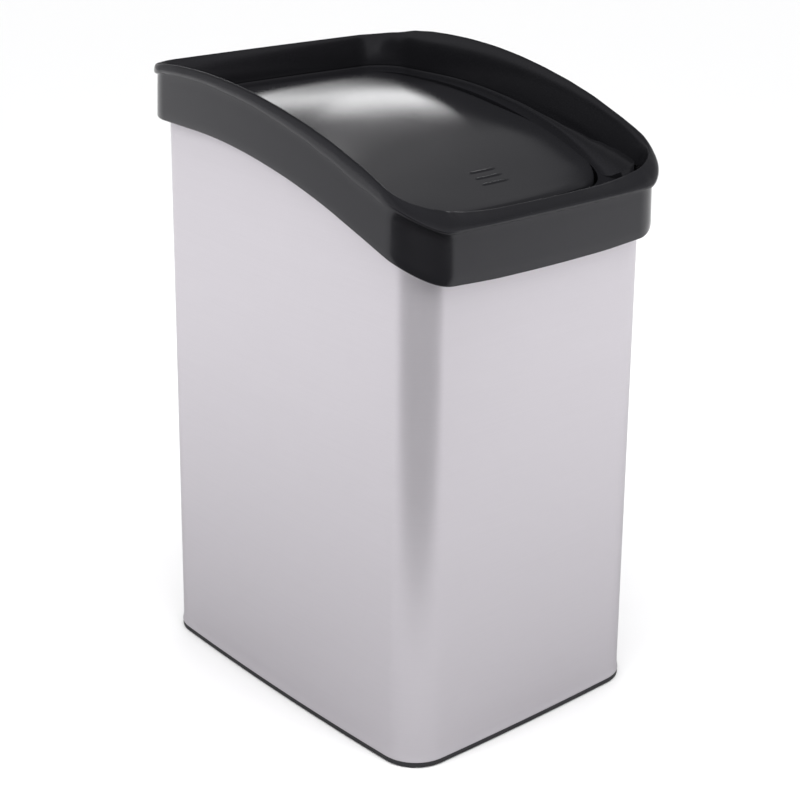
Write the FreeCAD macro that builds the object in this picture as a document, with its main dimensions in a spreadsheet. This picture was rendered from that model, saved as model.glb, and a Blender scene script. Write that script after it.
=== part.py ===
import FreeCAD, Part
import Sketcher
import math
import os

V = FreeCAD.Vector
doc = FreeCAD.newDocument("swing_lid_can")

# ---------------------------------------------------------------- sizes
# Millimetres. +Z up, origin at the middle of the footprint on the floor,
# -Y is the low front of the can, X runs across it.
SIZES = [
    ("body_w", 238.2, "width of the wrap at the floor"),
    ("body_d", 310.0, "depth of the wrap at the floor"),
    ("corner_r", 29.0, "plan radius of the wrap's corners at the floor"),
    ("side_bow_r", 2862.0, "bow radius of the long sides"),
    ("end_bow_r", 3219.0, "bow radius of front and back"),
    ("lean", 0.012, "inward lean of every wall per mm of height"),
    ("none", 0.0, "no offset"),
    # falling curve that the rim follows from back to front
    ("wave_z", 429.2, "level of the skirt's lower edge at the back"),
    ("wave_y1", 88.0, "where the curve starts to fall"),
    ("wave_r1", 470.0, "radius of the long fall"),
    ("wave_ang", 20.8, "steepest slope of the sides, degrees"),
    ("wave_y3", -134.0, "where the nose starts to roll over"),
    ("wave_r2", 95.0, "radius of the nose"),
    ("wave_y4", -161.0, "where the nose ends"),
    # levels above (+) or below (-) the falling curve
    ("lip_top", 43.0, "crest of the lip"),
    ("lip_under", 36.0, "underside of the lip"),
    ("seat_top", 9.5, "ledge round the lid"),
    ("seat_under", 7.0, "roof of the channel on the can's edge"),
    ("seat_low", -10.0, "lower edge of the channel inside the can"),
    ("flange_low", 0.8, "lower edge of the channel behind the skirt"),
    ("shell_top", 5.0, "top edge of the wrap"),
    ("guard_top", 6.5, "top of the edge guard"),
    ("guard_low", -3.5, "lower edge of the edge guard"),
    ("slot_top", 5.05, "roof of the guard's slot"),
    ("lid_face", 8.4, "lid's top face at its edge"),
    ("lid_roof", 5.9, "inner face of the lid's top panel"),
    ("boss_roof", 6.6, "where the bosses join the top panel"),
    ("panel_top", -2.0, "upper face of the closing panel"),
    ("boss_low", -1.95, "lower end of the bosses"),
    ("lid_low", -4.0, "lower edge of the lid"),
    # offsets from the wrap's outer face, + outwards
    ("lip_out", 12.5, "outer edge of the lip"),
    ("lip_nose", 14.5, "outer edge of the lip at the front"),
    ("clear_out", 26.0, "clear of the lip"),
    ("skirt_out", 10.4, "outer face of the skirt"),
    ("rim_in", 7.0, "inner wall of the rim"),
    ("seat_out", 6.7, "outer face of the channel"),
    ("chan_out", 4.2, "outer side of the channel's groove"),
    ("chan_in", -5.7, "inner side of the channel's groove"),
    ("seat_in", -8.0, "inner edge of the ledge at the sides"),
    ("seat_back", -9.5, "inner edge of the ledge at the back"),
    ("seat_front", -32.5, "inner edge of the ledge at the front"),
    ("deck_front", -30.2, "rear wall of the hollow under the front ledge"),
    ("guard_out", 1.2, "outer face of the edge guard"),
    ("guard_in", -2.2, "inner face of the edge guard"),
    ("slot_out", 0.05, "outer side of the guard's slot"),
    ("slot_in", -1.05, "inner side of the guard's slot"),
    ("shell_in", -1.0, "inner face of the wrap"),
    ("lid_out", -10.0, "outer edge of the lid"),
    ("lid_front", -35.5, "front edge of the lid"),
    ("lid_back", -11.0, "rear edge of the lid"),
    ("lid_in", -12.5, "inner face of the lid's turned-down edge"),
    ("lid_in_front", -38.0, "the same at the front"),
    ("lid_in_back", -13.5, "the same at the rear"),
    ("panel_out", -12.8, "edge of the closing panel"),
    ("panel_front", -38.3, "the same at the front"),
    ("panel_back", -13.8, "the same at the rear"),
    ("lid_corner", 41.0, "plan radius of the lid's corners before the lean"),
    ("lid_corner_in", 38.5, "the same on its inner face"),
    ("panel_corner", 38.2, "the same on the closing panel"),
    ("seat_corner", 33.0, "plan radius of the ledge's inner corners before the lean"),
    ("seat_corner_f", 32.0, "the same at the front"),
    ("lid_corner_f", 30.0, "plan radius of the lid's front corners before the lean"),
    ("lid_corner_f_in", 27.5, "the same on its inner face"),
    ("panel_corner_f", 27.2, "the same on the closing panel"),
    # working heights of the leaning prisms
    ("z_low", 330.0, "below the rim"),
    ("z_high", 500.0, "above the rim"),
    ("shell_z", 4.5, "lower edge of the wrap"),
    # foot
    ("ring_z0", 1.0, "underside of the foot trim"),
    ("ring_flat", 3.5, "height of the foot trim under the wrap"),
    ("ring_out", 0.7, "how far the foot trim stands out"),
    ("ring_in", -20.0, "inner edge of the foot trim"),
    ("up_out", -1.5, "outer face of the trim's upstand"),
    ("up_in", -3.3, "inner face of the trim's upstand"),
    ("up_high", 15.0, "height of the foot trim with its upstand"),
    ("pan_z0", 4.55, "underside of the floor"),
    ("pan_floor", 1.6, "thickness of the floor"),
    ("pan_high", 2.2, "height of the floor with its low rim"),
    ("pan_out", -3.7, "outer face of the low rim"),
    ("pan_in", -5.0, "inner face of the low rim"),
    ("foot_x", 103.0, "foot pad from the middle, across"),
    ("foot_y", 139.0, "foot pad from the middle, along"),
    ("foot_r", 8.0, "radius of a foot pad"),
    ("foot_high", 1.0, "thickness of a foot pad"),
    ("stem_r", 3.0, "radius of a foot pad's stem"),
    ("stem_high", 3.4, "length of a foot pad's stem"),
    ("stem_gap", 0.1, "clearance round a stem"),
    # pivots
    ("pivot_y", -12.0, "pivot axis, along"),
    ("pivot_z", 398.0, "pivot axis, height"),
    ("pin_r", 3.0, "radius of a pivot pin"),
    ("pin_x0", 86.0, "inner end of a pin's shank"),
    ("pin_x1", 105.2, "outer end of a pin"),
    ("pin_head_r", 5.0, "radius of a pin's head"),
    ("pin_head", 2.0, "thickness of a pin's head"),
    ("bush_gap", 0.05, "running clearance in a bush"),
    ("bush_r", 4.5, "outer radius of a bush"),
    ("bush_flange_r", 5.2, "radius of a bush's flange"),
    ("bush_flange", 1.0, "thickness of a bush's flange"),
    ("block_x0", 99.4, "inner face of a bearing block"),
    ("block_x1", 105.6, "outer face of a bearing block"),
    ("block_r", 11.0, "radius of a bearing block"),
    ("tab_x1", 108.6, "outer face of the channel's pivot tab"),
    ("tab_half", 15.0, "half length of a pivot tab"),
    ("tab_low", 14.0, "pivot tab below the axis"),
    ("tab_high", 22.0, "pivot tab above the axis"),
    ("rib_x0", 87.5, "inner face of a lid rib"),
    ("rib_x1", 95.0, "outer face of a lid rib"),
    ("rib_r", 8.0, "radius of a lid rib's eye"),
    ("rib_high", 18.6, "height of a lid rib above the axis"),
    ("rib_gap", 0.02, "fit of a pin in its rib"),
    # weight, pads
    ("bar_x", 150.0, "length of the weight"),
    ("bar_y", 22.0, "width of the weight"),
    ("bar_z", 5.0, "thickness of the weight"),
    ("bar_pos", 106.0, "middle of the weight, along"),
    ("bar_gap", 0.05, "seat of the weight on the closing panel"),
    ("bar_screw_x", 50.0, "screws of the weight from the middle"),
    ("stop_x", 46.0, "stop pad from the middle"),
    ("stop_w", 14.0, "width of a stop pad"),
    ("stop_d", 9.0, "depth of a stop pad"),
    ("stop_y", 128.0, "front edge of a stop pad"),
    ("shelf_y", 126.0, "front edge of a stop shelf"),
    ("shelf_y1", 142.5, "rear end of a stop shelf"),
    ("shelf_w", 22.0, "width of a stop shelf"),
    ("shelf_t", 2.5, "thickness of a stop shelf"),
    ("stop_gap", 0.35, "lid clear of its stop pads at rest"),
    ("grip_len", 24.0, "length of a grip pad"),
    ("grip_top", 5.5, "upper edge of a grip pad"),
    ("grip_low", -2.5, "lower edge of a grip pad"),
    ("grip_in", -5.65, "inner face of a grip pad"),
    ("grip_out", -2.65, "outer face of a grip pad"),
    ("grip_y", 92.0, "side grip pads, along"),
    ("grip_x", 60.0, "rear grip pads, across"),
    # screws
    ("screw_r", 1.5, "shank radius of a screw"),
    ("screw_gap", 0.06, "clearance round a screw"),
    ("head_r", 2.4, "head radius of a screw"),
    ("head_t", 1.8, "head thickness of a screw"),
    ("seat_screw_len", 5.2, "length of a channel screw"),
    ("seat_screw_z", 3.4, "channel screws, level"),
    ("block_screw_len", 8.6, "length of a bearing block screw"),
    ("block_screw_y", 8.2, "bearing block screws from the axis"),
    ("lid_screw_len", 8.0, "length of a lid screw"),
    ("boss_r", 3.6, "radius of a lid boss"),
]
sheet = doc.addObject("Spreadsheet::Sheet", "Sizes")
for row, (alias, number, note) in enumerate(SIZES, 1):
    sheet.set("A%d" % row, alias)
    sheet.set("B%d" % row, "%s" % number)
    sheet.set("C%d" % row, note)
    sheet.setAlias("B%d" % row, alias)
doc.recompute()


def size(*keys):
    return sum(float(sheet.get(k)) for k in keys)


def cell(*keys):
    return " + ".join("Sizes.%s" % k for k in keys)


def leaned(z_key, *keys):
    return size(*keys) - size("lean") * size(z_key)


def leaned_cell(z_key, *keys):
    return "%s - Sizes.lean * Sizes.%s" % (cell(*keys), z_key)


def plane(body, role):
    for feature in body.Origin.OriginFeatures:
        if feature.Role == role:
            return feature
    raise ValueError(role)


# ---------------------------------------------------------------- plan outline
def circles_meet(c0, r0, c1, r1, towards):
    d = (c1 - c0).Length
    a = (r0 * r0 - r1 * r1 + d * d) / (2 * d)
    h = math.sqrt(max(r0 * r0 - a * a, 0.0))
    u = (c1 - c0) * (1.0 / d)
    n = V(-u.y, u.x, 0)
    p = c0 + u * a
    return max((p + n * h, p - n * h), key=lambda q: q.dot(towards))


def outline(body, name, z_key, side, front, back, front_r, back_r):
    """Plan of the can at one height: four bowed sides and four round corners.
    side, front, back, front_r and back_r are lists of cells to add up."""
    sk = body.newObject("Sketcher::SketchObject", name)
    sk.AttachmentSupport = [(plane(body, "XY_Plane"), "")]
    sk.MapMode = "FlatFace"
    sk.setExpression("AttachmentOffset.Base.z", "Sizes.%s" % z_key)
    radii = [("side_bow_r",) + side, ("end_bow_r",) + front, ("end_bow_r",) + back]
    Rs, Rf, Rb = (leaned(z_key, *k) for k in radii)
    rf, rb = leaned(z_key, *front_r), leaned(z_key, *back_r)
    xs = size("side_bow_r") - size("body_w") / 2
    ye = size("end_bow_r") - size("body_d") / 2
    c_right, c_left, c_front, c_back = V(-xs, 0, 0), V(xs, 0, 0), V(0, ye, 0), V(0, -ye, 0)

    def corner(c_side, c_end, R_end, r, towards):
        c = circles_meet(c_side, Rs - r, c_end, R_end - r, towards)
        t_side = c_side + (c - c_side).normalize() * Rs
        t_end = c_end + (c - c_end).normalize() * R_end
        return c, t_side, t_end

    fr = corner(c_right, c_front, Rf, rf, V(1, -1, 0))
    br = corner(c_right, c_back, Rb, rb, V(1, 1, 0))
    bl = corner(c_left, c_back, Rb, rb, V(-1, 1, 0))
    fl = corner(c_left, c_front, Rf, rf, V(-1, -1, 0))
    arcs = [(c_right, Rs, fr[1], br[1]), (br[0], rb, br[1], br[2]),
            (c_back, Rb, br[2], bl[2]), (bl[0], rb, bl[2], bl[1]),
            (c_left, Rs, bl[1], fl[1]), (fl[0], rf, fl[1], fl[2]),
            (c_front, Rf, fl[2], fr[2]), (fr[0], rf, fr[2], fr[1])]
    for c, r, p0, p1 in arcs:
        a0 = math.atan2(p0.y - c.y, p0.x - c.x)
        a1 = math.atan2(p1.y - c.y, p1.x - c.x)
        while a1 < a0:
            a1 += 2 * math.pi
        sk.addGeometry(Part.ArcOfCircle(Part.Circle(c, V(0, 0, 1), r), a0, a1), False)
    for i in range(8):
        sk.addConstraint(Sketcher.Constraint("Tangent", i, 2, (i + 1) % 8, 1))
    named = []
    sk.addConstraint(Sketcher.Constraint("PointOnObject", 0, 3, -1))
    sk.addConstraint(Sketcher.Constraint("PointOnObject", 4, 3, -1))
    sk.addConstraint(Sketcher.Constraint("PointOnObject", 2, 3, -2))
    sk.addConstraint(Sketcher.Constraint("PointOnObject", 6, 3, -2))
    across, along = "Sizes.side_bow_r - Sizes.body_w / 2", "Sizes.end_bow_r - Sizes.body_d / 2"
    named.append((sk.addConstraint(Sketcher.Constraint("DistanceX", 0, 3, -1, 1, xs)), "right_c", across))
    named.append((sk.addConstraint(Sketcher.Constraint("DistanceX", -1, 1, 4, 3, xs)), "left_c", across))
    named.append((sk.addConstraint(Sketcher.Constraint("DistanceY", 2, 3, -1, 1, ye)), "back_c", along))
    named.append((sk.addConstraint(Sketcher.Constraint("DistanceY", -1, 1, 6, 3, ye)), "front_c", along))
    for i, keys in ((0, radii[0]), (4, radii[0]), (2, radii[2]), (6, radii[1]),
                    (1, back_r), (3, back_r), (5, front_r), (7, front_r)):
        n = sk.addConstraint(Sketcher.Constraint("Radius", i, leaned(z_key, *keys)))
        named.append((n, "r%d_arc" % i, leaned_cell(z_key, *keys)))
    for n, label, formula in named:
        sk.renameConstraint(n, label)
        sk.setExpression("Constraints.%s" % label, formula)
    return sk


def even(*keys):
    """The same offset all round, corners concentric with the wrap's."""
    return (keys, keys, keys, ("corner_r",) + keys, ("corner_r",) + keys)


LIP = (("lip_out",), ("lip_nose",), ("lip_out",), ("corner_r", "lip_nose"), ("corner_r", "lip_out"))
SEAT_IN = (("seat_in",), ("seat_front",), ("seat_back",), ("seat_corner_f",), ("seat_corner",))
DECK_IN = (("rim_in",), ("deck_front",), ("rim_in",), ("seat_corner_f",), ("seat_corner",))
LID = (("lid_out",), ("lid_front",), ("lid_back",), ("lid_corner_f",), ("lid_corner",))
LID_IN = (("lid_in",), ("lid_in_front",), ("lid_in_back",), ("lid_corner_f_in",), ("lid_corner_in",))
PANEL = (("panel_out",), ("panel_front",), ("panel_back",), ("panel_corner_f",), ("panel_corner",))


def prism(body, tag, kind, plan, z0="z_low", z1="z_high"):
    """Leaning prism between two heights, added to or taken from the body."""
    low = outline(body, tag + "_low", z0, *plan)
    high = outline(body, tag + "_high", z1, *plan)
    doc.recompute()
    loft = body.newObject("PartDesign::%sLoft" % kind, tag)
    loft.Profile = (low, [""])
    loft.Sections = [(high, [""])]
    loft.Ruled = True
    doc.recompute()
    return loft


# ---------------------------------------------------------------- falling curve
def wave_points():
    t = math.radians(size("wave_ang"))
    y1, z1, r1, r2 = size("wave_y1"), size("wave_z"), size("wave_r1"), size("wave_r2")
    c1 = (y1, z1 - r1)
    p2 = (y1 - r1 * math.sin(t), c1[1] + r1 * math.cos(t))
    y3 = size("wave_y3")
    p3 = (y3, p2[1] - (p2[0] - y3) * math.tan(t))
    c2 = (y3 + r2 * math.sin(t), p3[1] - r2 * math.cos(t))
    y4 = size("wave_y4")
    p4 = (y4, c2[1] + math.sqrt(r2 * r2 - (c2[0] - y4) ** 2))
    return (y1, z1), c1, p2, p3, c2, p4


def wave(y):
    """Height of the falling curve at y, and its slope."""
    p1, c1, p2, p3, c2, p4 = wave_points()
    if y >= p1[0]:
        return p1[1], 0.0
    if y >= p2[0]:
        d = c1[0] - y
        z = math.sqrt(size("wave_r1") ** 2 - d * d)
        return c1[1] + z, d / z
    if y >= p3[0]:
        t = math.tan(math.radians(size("wave_ang")))
        return p2[1] - (p2[0] - y) * t, t
    if y >= p4[0]:
        d = c2[0] - y
        z = math.sqrt(size("wave_r2") ** 2 - d * d)
        return c2[1] + z, d / z
    return p4[1], 0.0


def wave_cut(body, tag, level, keep):
    """Cut the body along the falling curve, shifted up by one level.
    keep is 'below' or 'above'."""
    sk = body.newObject("Sketcher::SketchObject", tag + "_curve")
    sk.AttachmentSupport = [(plane(body, "YZ_Plane"), "")]
    sk.MapMode = "FlatFace"
    dz = size(level)
    p1, c1, p2, p3, c2, p4 = [V(p[0], p[1] + dz, 0) for p in wave_points()]
    t = math.radians(size("wave_ang"))
    far, top = 300.0, (620.0 if keep == "below" else 200.0)
    a, f = V(far, p1.y, 0), V(-far, p4.y, 0)
    g, k = V(-far, top, 0), V(far, top, 0)
    phi4 = math.atan2(p4.y - c2.y, p4.x - c2.x)
    up = V(0, 0, 1)
    sk.addGeometry(Part.LineSegment(a, p1), False)                                                   # 0
    sk.addGeometry(Part.ArcOfCircle(Part.Circle(c1, up, size("wave_r1")), math.pi / 2, math.pi / 2 + t), False)  # 1
    sk.addGeometry(Part.LineSegment(p3, p2), False)                                                  # 2
    sk.addGeometry(Part.ArcOfCircle(Part.Circle(c2, up, size("wave_r2")), math.pi / 2 + t, phi4), False)  # 3
    sk.addGeometry(Part.LineSegment(p4, f), False)                                                   # 4
    sk.addGeometry(Part.LineSegment(f, g), False)                                                    # 5
    sk.addGeometry(Part.LineSegment(g, k), False)                                                    # 6
    sk.addGeometry(Part.LineSegment(k, a), False)                                                    # 7
    C = Sketcher.Constraint
    for con in (C("Tangent", 0, 2, 1, 1), C("Tangent", 1, 2, 2, 2), C("Tangent", 2, 1, 3, 1),
                C("Coincident", 3, 2, 4, 1), C("Coincident", 4, 2, 5, 1), C("Coincident", 5, 2, 6, 1),
                C("Coincident", 6, 2, 7, 1), C("Coincident", 7, 2, 0, 1),
                C("Horizontal", 0), C("Horizontal", 4), C("Vertical", 5), C("Horizontal", 6), C("Vertical", 7)):
        sk.addConstraint(con)
    named = [
        (C("Radius", 1, size("wave_r1")), "fall_r", "Sizes.wave_r1"),
        (C("Radius", 3, size("wave_r2")), "nose_r", "Sizes.wave_r2"),
        (C("DistanceX", -1, 1, 0, 2, p1.x), "fall_y", "Sizes.wave_y1"),
        (C("DistanceY", -1, 1, 0, 2, p1.y), "rear_z", "Sizes.wave_z + Sizes.%s" % level),
        (C("DistanceX", 2, 1, -1, 1, -p3.x), "nose_y", "-Sizes.wave_y3"),
        (C("DistanceX", 3, 2, -1, 1, -p4.x), "end_y", "-Sizes.wave_y4"),
        (C("Angle", 2, t), "slope", "Sizes.wave_ang * 1 deg"),
        (C("DistanceX", -1, 1, 0, 1, far), "far_rear", None),
        (C("DistanceX", 4, 2, -1, 1, far), "far_front", None),
        (C("DistanceY", -1, 1, 6, 1, top), "far_level", None),
    ]
    for con, label, formula in named:
        n = sk.addConstraint(con)
        sk.renameConstraint(n, label)
        if formula:
            sk.setExpression("Constraints.%s" % label, formula)
    doc.recompute()
    before = body.Shape.Volume
    cut = body.newObject("PartDesign::Pocket", tag)
    cut.Profile = sk
    cut.Type = "Length"
    cut.SideType = "Symmetric"
    cut.Length = 700
    doc.recompute()
    if not body.Shape.Volume < before - 1.0:
        raise RuntimeError("%s cut nothing" % tag)
    return cut


def new_body(name):
    body = doc.addObject("PartDesign::Body", name)
    body.Label = name
    return body


def ring(name, outer, inner, below, above, z0="z_low", z1="z_high"):
    """Leaning ring between two plans, trimmed to two levels of the falling curve."""
    body = new_body(name)
    prism(body, name + "_outer", "Additive", outer, z0, z1)
    if inner:
        prism(body, name + "_inner", "Subtractive", inner, z0, z1)
    if below:
        wave_cut(body, name + "_top", below, "below")
    if above:
        wave_cut(body, name + "_foot", above, "above")
    return body


def cut(name, base, tool):
    obj = doc.addObject("Part::Cut", name)
    obj.Base, obj.Tool = base, tool
    obj.Label = name
    doc.recompute()
    return obj


def fuse(name, *shapes):
    obj = doc.addObject("Part::MultiFuse", name)
    obj.Shapes = list(shapes)
    obj.Label = name
    doc.recompute()
    return obj


def group(name, shapes):
    obj = doc.addObject("Part::Feature", name)
    obj.Shape = Part.makeCompound(shapes)
    obj.Label = name
    return obj


def bind(obj, **formulas):
    for prop, formula in formulas.items():
        obj.setExpression(prop.replace("__", "."), formula)
    return obj


def box(name, x0, x1, y0, y1, z0, z1):
    """Box from formulas of its six faces."""
    obj = doc.addObject("Part::Box", name)
    bind(obj, Length="(%s) - (%s)" % (x1, x0), Width="(%s) - (%s)" % (y1, y0), Height="(%s) - (%s)" % (z1, z0),
         Placement__Base__x=x0, Placement__Base__y=y0, Placement__Base__z=z0)
    doc.recompute()
    return obj


def rod(name, radius, x0, x1, y, z):
    """Cylinder along X from formulas."""
    obj = doc.addObject("Part::Cylinder", name)
    obj.Placement = FreeCAD.Placement(V(0, 0, 0), FreeCAD.Rotation(V(0, 1, 0), 90))
    bind(obj, Radius=radius, Height="(%s) - (%s)" % (x1, x0),
         Placement__Base__x=x0, Placement__Base__y=y, Placement__Base__z=z)
    doc.recompute()
    return obj


nodes = {}

# ---------------------------------------------------------------- can
# Wrap: leaning sheet sleeve whose top edge follows the falling curve.
nodes["body_shell"] = ring("body_shell", even("none"), even("shell_in"), "shell_top", None, "shell_z", "z_high")

# Edge guard: U-strip pushed over the wrap's top edge.
guard_raw = ring("guard_raw", even("guard_out"), even("guard_in"), "guard_top", "guard_low")
guard_slot = ring("guard_slot", even("slot_out"), even("slot_in"), "slot_top", None)
nodes["top_edge_guard"] = cut("top_edge_guard", guard_raw, guard_slot)

# Foot trim: flat ring under the wrap, with an upstand inside it.
foot = new_body("foot_trim")


def flat_pad(body, tag, z_key, plan, height_key, kind="Pad"):
    sk = outline(body, tag + "_plan", z_key, *plan)
    doc.recompute()
    before = body.Shape.Volume if body.Shape and not body.Shape.isNull() else 0.0
    feat = body.newObject("PartDesign::%s" % kind, tag)
    feat.Profile = sk
    feat.Type = "Length"
    feat.setExpression("Length", "Sizes.%s" % height_key)
    if kind == "Pocket":
        feat.Reversed = True
    doc.recompute()
    if abs(body.Shape.Volume - before) < 1.0:
        raise RuntimeError("%s changed nothing" % tag)
    return feat


flat_pad(foot, "trim_flat", "ring_z0", even("ring_out"), "ring_flat")
flat_pad(foot, "trim_upstand", "ring_z0", even("up_out"), "up_high")
flat_pad(foot, "trim_hollow", "shell_z", even("up_in"), "up_high", "Pocket")
flat_pad(foot, "trim_window", "ring_z0", even("ring_in"), "ring_flat", "Pocket")


def at_feet(name, radius, height, z):
    made = []
    for i, (sx, sy) in enumerate(((1, 1), (-1, 1), (-1, -1), (1, -1))):
        c = doc.addObject("Part::Cylinder", "%s_%d" % (name, i))
        bind(c, Radius=radius, Height=height, Placement__Base__x="%d * Sizes.foot_x" % sx,
             Placement__Base__y="%d * Sizes.foot_y" % sy, Placement__Base__z=z)
        made.append(c)
    doc.recompute()
    return made


holes = at_feet("foot_hole", "Sizes.stem_r + Sizes.stem_gap", "Sizes.ring_flat + 2", "0")
nodes["base_ring"] = cut("base_ring", foot, fuse("foot_holes", *holes))

pads = at_feet("foot_pad", "Sizes.foot_r", "Sizes.foot_high", "0")
stems = at_feet("foot_stem", "Sizes.stem_r", "Sizes.foot_high + Sizes.stem_high", "0")
feet = []
for i in range(4):
    feet.append(fuse("foot_%d" % i, pads[i], stems[i]))
nodes["rubber_feet"] = group("rubber_feet", [f.Shape.copy() for f in feet])

# Floor: plate with a low rim that sits in the foot trim.
pan = new_body("base_pan")
flat_pad(pan, "pan_block", "pan_z0", even("pan_out"), "pan_high")
sk = outline(pan, "pan_hollow_plan", "pan_z0", *even("pan_in"))
sk.setExpression("AttachmentOffset.Base.z", "Sizes.pan_z0 + Sizes.pan_floor")
doc.recompute()
solid_pan = pan.Shape.Volume
hollow = pan.newObject("PartDesign::Pocket", "pan_hollow")
hollow.Profile = sk
hollow.Type = "Length"
hollow.setExpression("Length", "Sizes.pan_high")
hollow.Reversed = True
doc.recompute()
if not pan.Shape.Volume < solid_pan - 1.0:
    raise RuntimeError("the floor is not hollow")
nodes["base_pan"] = pan


# ---------------------------------------------------------------- places worked out from the sheet
def half_width(y, z, *keys):
    r = size("side_bow_r", *keys) - size("lean") * z
    return size("body_w") / 2 - size("side_bow_r") + math.sqrt(r * r - y * y)


def rear(x, z, *keys):
    r = size("end_bow_r", *keys) - size("lean") * z
    return size("body_d") / 2 - size("end_bow_r") + math.sqrt(r * r - x * x)


def screw(length):
    shank = Part.makeCylinder(size("screw_r"), length, V(0, 0, 0), V(0, 0, 1))
    head = Part.makeCylinder(size("head_r"), size("head_t"), V(0, 0, 0), V(0, 0, -1))
    return shank.fuse(head).removeSplitter()


def drill(length, extra=0.15):
    return Part.makeCylinder(size("screw_r") + size("screw_gap"), length + extra + 1.0, V(0, 0, -1.0), V(0, 0, 1))


def placed(shape, pos, axis):
    out = shape.copy()
    out.Placement = FreeCAD.Placement(pos, FreeCAD.Rotation(V(0, 0, 1), axis))
    return out


# ---------------------------------------------------------------- rim
rim_raw = ring("rim_raw", LIP, even("rim_in"), "lip_top", None)
wave_cut(rim_raw, "rim_raw_skirt", "none", "above")
under_lip = ring("under_lip", even("clear_out"), even("skirt_out"), "lip_under", None)
rim_blank = cut("rim_blank", rim_raw, under_lip)

# Channel screws, driven outwards through the channel into the skirt.
seat_screw_at = []
for sx in (1, -1):
    for y in (112.0, -58.0):
        z = wave(y)[0] + size("seat_screw_z")
        seat_screw_at.append((V(sx * (half_width(y, z, "chan_out") - 0.16), y, z), V(sx, 0, 0)))
for x in (78.0, -78.0):
    z = size("wave_z") + size("seat_screw_z")
    seat_screw_at.append((V(x, rear(x, z, "chan_out") - 0.16, z), V(0, 1, 0)))
nodes["seat_frame_screws"] = group("seat_frame_screws", [placed(screw(size("seat_screw_len")), p, a) for p, a in seat_screw_at])
seat_drills = group("seat_drills", [placed(drill(size("seat_screw_len")), p, a) for p, a in seat_screw_at])
nodes["rim_frame"] = cut("rim_frame", rim_blank, seat_drills)

# Ledge and channel: straddles the can's top edge, carries pivots and stops.
seat_raw = ring("seat_raw", even("seat_out"), SEAT_IN, "seat_top", "seat_low")
groove = ring("groove", even("chan_out"), even("chan_in"), "seat_under", None)
seat_long = cut("seat_long", seat_raw, groove)
behind_skirt = ring("behind_skirt", even("clear_out"), even("none"), "flange_low", None)
seat_thick = cut("seat_thick", seat_long, behind_skirt)
# Hollow under the wide front ledge, open below.
deck_hollow = ring("deck_hollow", even("seat_in"), DECK_IN, "seat_under", None)
seat_channel = cut("seat_channel", seat_thick, deck_hollow)
tabs = []
for tag, sx in (("right", 1), ("left", -1)):
    x0, x1 = ("Sizes.block_x1", "Sizes.tab_x1") if sx > 0 else ("-Sizes.tab_x1", "-Sizes.block_x1")
    tabs.append(box(tag + "_tab", x0, x1, "Sizes.pivot_y - Sizes.tab_half", "Sizes.pivot_y + Sizes.tab_half",
                    "Sizes.pivot_z - Sizes.tab_low", "Sizes.pivot_z + Sizes.tab_high"))
for tag, sx in (("right", 1), ("left", -1)):
    tabs.append(box(tag + "_shelf", "%d * Sizes.stop_x - Sizes.shelf_w / 2" % sx, "%d * Sizes.stop_x + Sizes.shelf_w / 2" % sx,
                    "Sizes.shelf_y", "Sizes.shelf_y1", "Sizes.wave_z + Sizes.seat_low",
                    "Sizes.wave_z + Sizes.seat_low + Sizes.shelf_t"))
seat_whole = fuse("seat_whole", seat_channel, *tabs)

# Bearing block screws, driven outwards through each block into its tab.
block_screw_at = []
for sx in (1, -1):
    for sy in (1, -1):
        block_screw_at.append((V(sx * size("block_x0"), size("pivot_y") + sy * size("block_screw_y"), size("pivot_z")), V(sx, 0, 0)))
nodes["pivot_block_screws"] = group("pivot_block_screws", [placed(screw(size("block_screw_len")), p, a) for p, a in block_screw_at])
block_drills = group("block_drills", [placed(drill(size("block_screw_len")), p, a) for p, a in block_screw_at])
seat_bored = cut("seat_bored", seat_whole, block_drills)
nodes["lid_seat_frame"] = cut("lid_seat_frame", seat_bored, seat_drills)

for tag, sx in (("right", 1), ("left", -1)):
    def span(a, b):
        return ("(%s)" % a, "(%s)" % b) if sx > 0 else ("-(%s)" % b, "-(%s)" % a)
    y, z = "Sizes.pivot_y", "Sizes.pivot_z"
    x0, x1 = span("Sizes.block_x0", "Sizes.block_x1")
    blank = rod(tag + "_block_blank", "Sizes.block_r", x0, x1, y, z)
    a0, a1 = span("Sizes.block_x0 - 1", "Sizes.block_x1 + 1")
    bore = rod(tag + "_block_bore", "Sizes.bush_r", a0, a1, y, z)
    bored = cut(tag + "_block_bored", blank, bore)
    nodes[tag + "_pivot_block"] = cut(tag + "_pivot_block", bored, block_drills)
    sleeve = rod(tag + "_bush_sleeve", "Sizes.bush_r", x0, x1, y, z)
    f0, f1 = span("Sizes.block_x0 - Sizes.bush_flange", "Sizes.block_x0")
    collar = rod(tag + "_bush_collar", "Sizes.bush_flange_r", f0, f1, y, z)
    b0, b1 = span("Sizes.block_x0 - 3", "Sizes.block_x1 + 1")
    eye = rod(tag + "_bush_eye", "Sizes.pin_r + Sizes.bush_gap", b0, b1, y, z)
    nodes[tag + "_pivot_bush"] = cut(tag + "_pivot_bush", fuse(tag + "_bush_blank", sleeve, collar), eye)
    p0, p1 = span("Sizes.pin_x0", "Sizes.pin_x1")
    shank = rod(tag + "_pin_shank", "Sizes.pin_r", p0, p1, y, z)
    h0, h1 = span("Sizes.pin_x0 - Sizes.pin_head", "Sizes.pin_x0")
    head = rod(tag + "_pin_head", "Sizes.pin_head_r", h0, h1, y, z)
    nodes[tag + "_pivot_pin"] = fuse(tag + "_pivot_pin", shank, head)

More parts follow.
